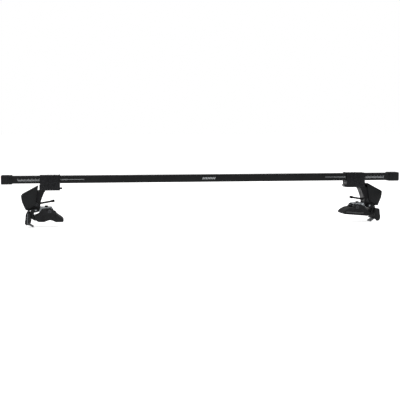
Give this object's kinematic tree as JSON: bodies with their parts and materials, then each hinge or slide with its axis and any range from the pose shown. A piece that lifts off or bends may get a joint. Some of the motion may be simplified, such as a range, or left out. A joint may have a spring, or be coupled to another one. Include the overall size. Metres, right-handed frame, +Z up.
{
  "type": "roof rack cross bar",
  "caption": "Square roof cross bar on clamp-on foot towers, each with a hinged cover, a door-frame hook drawn in by a bolt, and a swivelling rubber pad.",
  "frame": {"origin": "under the middle of the bar, at the height of the hook lips", "axes": "+X along the bar, +Y across it, +Z up"},
  "size_m": [1.2, 0.082, 0.1527],
  "materials": {
    "steel": "bright drawn steel",
    "zinc_steel": "zinc plated",
    "black_steel": "black powder coat",
    "bar_plastic": "extruded black jacket",
    "moulded_plastic": "fine moulded grain",
    "rubber": "matt black rubber"
  },
  "bodies": {
    "bar": {"bar_tube": "steel", "bar_jacket": "bar_plastic", "end_cap_left": "moulded_plastic", "end_cap_right": "moulded_plastic"},
    "left_tower": {"left_tower_body": "black_steel", "left_clamp_strap": "black_steel", "left_strap_screw_a": "steel", "left_strap_screw_b": "steel", "left_cover_pin_a": "steel", "left_cover_pin_b": "steel", "left_hook_pivot_pin": "steel", "left_barrel_nut": "zinc_steel", "left_foot_arm": "zinc_steel", "left_arm_pin": "zinc_steel", "left_arm_knob": "rubber", "left_heel_block": "moulded_plastic", "left_pad_pin": "zinc_steel"},
    "left_screw": {"left_clamp_screw": "zinc_steel"},
    "left_wedge": {"left_clamp_wedge": "zinc_steel"},
    "left_jaw": {"left_clamp_jaw": "moulded_plastic"},
    "left_cover": {"left_cover": "moulded_plastic"},
    "left_lock": {"left_lock_cylinder": "zinc_steel", "left_lock_cam": "steel"},
    "left_hook": {"left_hook_plate": "zinc_steel", "left_hook_boot": "rubber", "left_hook_inner_pad": "rubber"},
    "left_washer": {"left_bolt_washer": "zinc_steel"},
    "left_bolt": {"left_tension_bolt": "black_steel", "left_bolt_tip": "moulded_plastic"},
    "left_pad": {"left_roof_pad": "rubber"},
    "right_tower": {"right_tower_body": "black_steel", "right_clamp_strap": "black_steel", "right_strap_screw_a": "steel", "right_strap_screw_b": "steel", "right_cover_pin_a": "steel", "right_cover_pin_b": "steel", "right_hook_pivot_pin": "steel", "right_barrel_nut": "zinc_steel", "right_foot_arm": "zinc_steel", "right_arm_pin": "zinc_steel", "right_arm_knob": "rubber", "right_heel_block": "moulded_plastic", "right_pad_pin": "zinc_steel"},
    "right_screw": {"right_clamp_screw": "zinc_steel"},
    "right_wedge": {"right_clamp_wedge": "zinc_steel"},
    "right_jaw": {"right_clamp_jaw": "moulded_plastic"},
    "right_cover": {"right_cover": "moulded_plastic"},
    "right_lock": {"right_lock_cylinder": "zinc_steel", "right_lock_cam": "steel"},
    "right_hook": {"right_hook_plate": "zinc_steel", "right_hook_boot": "rubber", "right_hook_inner_pad": "rubber"},
    "right_washer": {"right_bolt_washer": "zinc_steel"},
    "right_bolt": {"right_tension_bolt": "black_steel", "right_bolt_tip": "moulded_plastic"},
    "right_pad": {"right_roof_pad": "rubber"}
  },
  "joints": [
    {"name": "left_tower_slide", "type": "slide", "parent": "bar", "child": "left_tower", "axis": [1, 0, 0], "range_m": [-0.07, 0.3]},
    {"name": "left_clamp_screw_spin", "type": "hinge", "parent": "left_tower", "child": "left_screw", "pos_m": [-0.487, 0, 0.11687], "axis": [1, 0, 0], "range_deg": [-1620, 0]},
    {"name": "left_wedge_slide", "type": "slide", "parent": "left_tower", "child": "left_wedge", "axis": [1, 0, 0], "range_m": [0, 0.0036]},
    {"name": "left_jaw_lift", "type": "slide", "parent": "left_tower", "child": "left_jaw", "axis": [0, 0, 1], "range_m": [-0.00144, 0]},
    {"name": "left_cover_fold", "type": "hinge", "parent": "left_tower", "child": "left_cover", "pos_m": [-0.528, 0, 0.05487], "axis": [0, -1, 0], "range_deg": [0, 85]},
    {"name": "left_lock_turn", "type": "hinge", "parent": "left_cover", "child": "left_lock", "pos_m": [-0.54, 0, 0.08087], "axis": [1, 0, 0], "range_deg": [0, 90]},
    {"name": "left_bolt_travel", "type": "slide", "parent": "left_tower", "child": "left_washer", "axis": [-0.9851, 0, -0.1719], "range_m": [0, 0.00304]},
    {"name": "left_bolt_spin", "type": "hinge", "parent": "left_washer", "child": "left_bolt", "pos_m": [-0.51105, 0, 0.0656], "axis": [-0.9851, 0, -0.1719], "range_deg": [0, 1091]},
    {"name": "left_hook_swing", "type": "hinge", "parent": "left_tower", "child": "left_hook", "pos_m": [-0.505, 0, 0.09187], "axis": [0, 1, 0], "range_deg": [0, 7]},
    {"name": "left_pad_swivel", "type": "hinge", "parent": "left_tower", "child": "left_pad", "pos_m": [-0.4627, 0, 0.04747], "axis": [0, -1, 0], "range_deg": [-10, 10]},
    {"name": "right_tower_slide", "type": "slide", "parent": "bar", "child": "right_tower", "axis": [-1, 0, 0], "range_m": [-0.07, 0.3]},
    {"name": "right_clamp_screw_spin", "type": "hinge", "parent": "right_tower", "child": "right_screw", "pos_m": [0.487, 0, 0.11687], "axis": [-1, 0, 0], "range_deg": [-1620, 0]},
    {"name": "right_wedge_slide", "type": "slide", "parent": "right_tower", "child": "right_wedge", "axis": [-1, 0, 0], "range_m": [0, 0.0036]},
    {"name": "right_jaw_lift", "type": "slide", "parent": "right_tower", "child": "right_jaw", "axis": [0, 0, 1], "range_m": [-0.00144, 0]},
    {"name": "right_cover_fold", "type": "hinge", "parent": "right_tower", "child": "right_cover", "pos_m": [0.528, 0, 0.05487], "axis": [0, 1, 0], "range_deg": [0, 85]},
    {"name": "right_lock_turn", "type": "hinge", "parent": "right_cover", "child": "right_lock", "pos_m": [0.54, 0, 0.08087], "axis": [-1, 0, 0], "range_deg": [0, 90]},
    {"name": "right_bolt_travel", "type": "slide", "parent": "right_tower", "child": "right_washer", "axis": [0.9851, 0, -0.1719], "range_m": [0, 0.00304]},
    {"name": "right_bolt_spin", "type": "hinge", "parent": "right_washer", "child": "right_bolt", "pos_m": [0.51105, 0, 0.0656], "axis": [0.9851, 0, -0.1719], "range_deg": [0, 1091]},
    {"name": "right_hook_swing", "type": "hinge", "parent": "right_tower", "child": "right_hook", "pos_m": [0.505, 0, 0.09187], "axis": [0, -1, 0], "range_deg": [0, 7]},
    {"name": "right_pad_swivel", "type": "hinge", "parent": "right_tower", "child": "right_pad", "pos_m": [0.4627, 0, 0.04747], "axis": [0, 1, 0], "range_deg": [-15, 5]}
  ],
  "couplings": [
    {"joint": "left_clamp_screw_spin", "follows": "left_wedge_slide", "rad_per_m": -7854},
    {"joint": "left_jaw_lift", "follows": "left_wedge_slide", "ratio": -0.4},
    {"joint": "left_bolt_travel", "follows": "left_hook_swing", "m_per_rad": 0.0248},
    {"joint": "left_bolt_spin", "follows": "left_hook_swing", "ratio": 155.82},
    {"joint": "right_clamp_screw_spin", "follows": "right_wedge_slide", "rad_per_m": -7854},
    {"joint": "right_jaw_lift", "follows": "right_wedge_slide", "ratio": -0.4},
    {"joint": "right_bolt_travel", "follows": "right_hook_swing", "m_per_rad": 0.0248},
    {"joint": "right_bolt_spin", "follows": "right_hook_swing", "ratio": 155.82}
  ]
}
